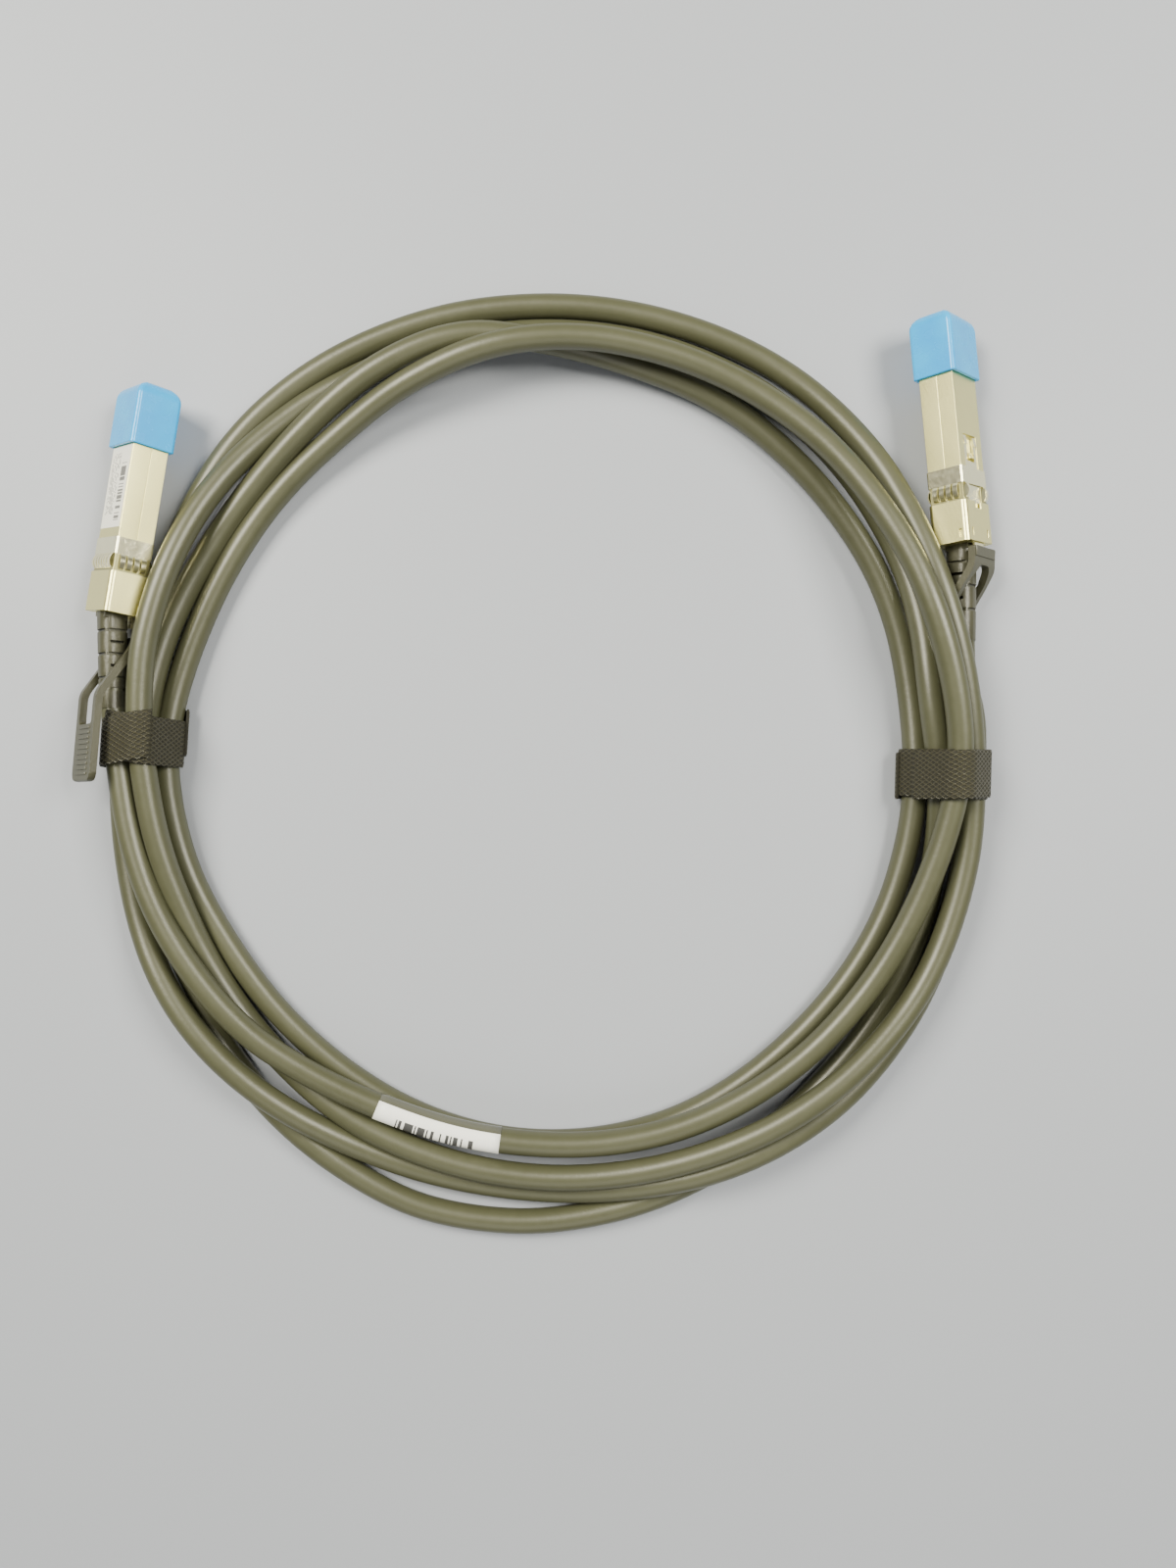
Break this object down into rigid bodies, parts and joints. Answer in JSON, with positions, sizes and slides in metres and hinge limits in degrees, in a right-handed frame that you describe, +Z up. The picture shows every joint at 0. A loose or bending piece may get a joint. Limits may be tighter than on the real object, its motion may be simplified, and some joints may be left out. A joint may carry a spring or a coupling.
{
  "type": "direct attach copper cable",
  "caption": "Direct attach copper cable: black round cable wound in a ring and tied by straps, with a capped pluggable module, latch, pull tab and boot at each end.",
  "frame": {"origin": "the middle of the plan box of the plugs, caps, tabs and straps, on the surface the cable lies on; the wound cable and its lead are left out of that box", "axes": "+X from the left plug to the right plug across the ring; +Y the way both plugs point; +Z up from the surface"},
  "size_m": [0.2279, 0.2363, 0.0237],
  "materials": {
    "nickel_plate": "satin",
    "spring_metal": "satin",
    "cap_plastic": "translucent gloss",
    "soft_moulding": "satin",
    "cable_jacket": "satin",
    "strap_fabric": "woven",
    "label_paper": "satin",
    "circuit_board": "satin",
    "gold_contact": "polished",
    "crimp_brass": "satin",
    "wire_jacket": "satin"
  },
  "bodies": {
    "assembly": {"left_shell_base": "nickel_plate", "left_shell_cover": "nickel_plate", "left_paddle_card": "circuit_board", "left_card_contacts": "gold_contact", "left_ferrule": "crimp_brass", "left_twinax_wires": "wire_jacket", "left_emi_collar": "spring_metal", "left_back_shell": "nickel_plate", "left_return_spring": "spring_metal", "left_boot": "soft_moulding", "right_shell_base": "nickel_plate", "right_shell_cover": "nickel_plate", "right_paddle_card": "circuit_board", "right_card_contacts": "gold_contact", "right_ferrule": "crimp_brass", "right_twinax_wires": "wire_jacket", "right_emi_collar": "spring_metal", "right_back_shell": "nickel_plate", "right_return_spring": "spring_metal", "right_boot": "soft_moulding", "left_module_label": "label_paper", "coil": "cable_jacket", "left_strap": "strap_fabric", "right_strap": "strap_fabric", "cable_label": "label_paper", "right_lead": "cable_jacket"},
    "left_latch": {"left_latch_slide": "spring_metal", "left_pull_tab": "soft_moulding"},
    "right_latch": {"right_latch_slide": "spring_metal", "right_pull_tab": "soft_moulding"},
    "left_cap": {"left_dust_cap": "cap_plastic"},
    "right_cap": {"right_dust_cap": "cap_plastic"}
  },
  "joints": [
    {"name": "left_latch_slide", "type": "slide", "parent": "assembly", "child": "left_latch", "axis": [-0.1633, -0.9866, 0], "range_m": [0, 0.0024], "stiffness_N_per_m": 300, "springref_m": -0.001, "deforming": ["left_return_spring"]},
    {"name": "left_cap_pull", "type": "slide", "parent": "assembly", "child": "left_cap", "axis": [0.1633, 0.9866, 0], "range_m": [0, 0.03]},
    {"name": "right_latch_slide", "type": "slide", "parent": "assembly", "child": "right_latch", "axis": [0.0958, -0.9954, 0], "range_m": [0, 0.0024], "stiffness_N_per_m": 300, "springref_m": -0.001, "deforming": ["right_return_spring"]},
    {"name": "right_cap_pull", "type": "slide", "parent": "assembly", "child": "right_cap", "axis": [-0.0958, 0.9954, 0], "range_m": [0, 0.03]}
  ]
}
